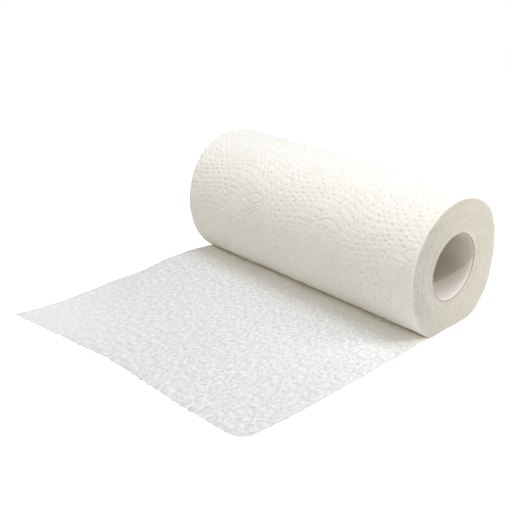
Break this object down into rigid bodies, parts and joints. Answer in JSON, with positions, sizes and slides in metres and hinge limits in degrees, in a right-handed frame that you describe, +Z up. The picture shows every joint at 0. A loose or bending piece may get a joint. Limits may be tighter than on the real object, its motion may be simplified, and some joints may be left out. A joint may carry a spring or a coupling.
{
  "type": "paper towel roll",
  "caption": "Roll of embossed white kitchen paper on a cardboard core, lying on its side with a perforated sheet pulled out flat.",
  "frame": {"origin": "on the table, under the middle of the roll, in the middle of its flat spot", "axes": "+X along the roll's axis towards its right end, -Y the way the loose sheet is pulled out, +Z up"},
  "size_m": [0.225, 0.2649, 0.0978],
  "materials": {
    "core_board": "matte grey-brown chipboard",
    "towel_paper": "matte embossed tissue"
  },
  "bodies": {
    "root": {"core_tube": "core_board", "paper_web": "towel_paper"}
  },
  "joints": []
}
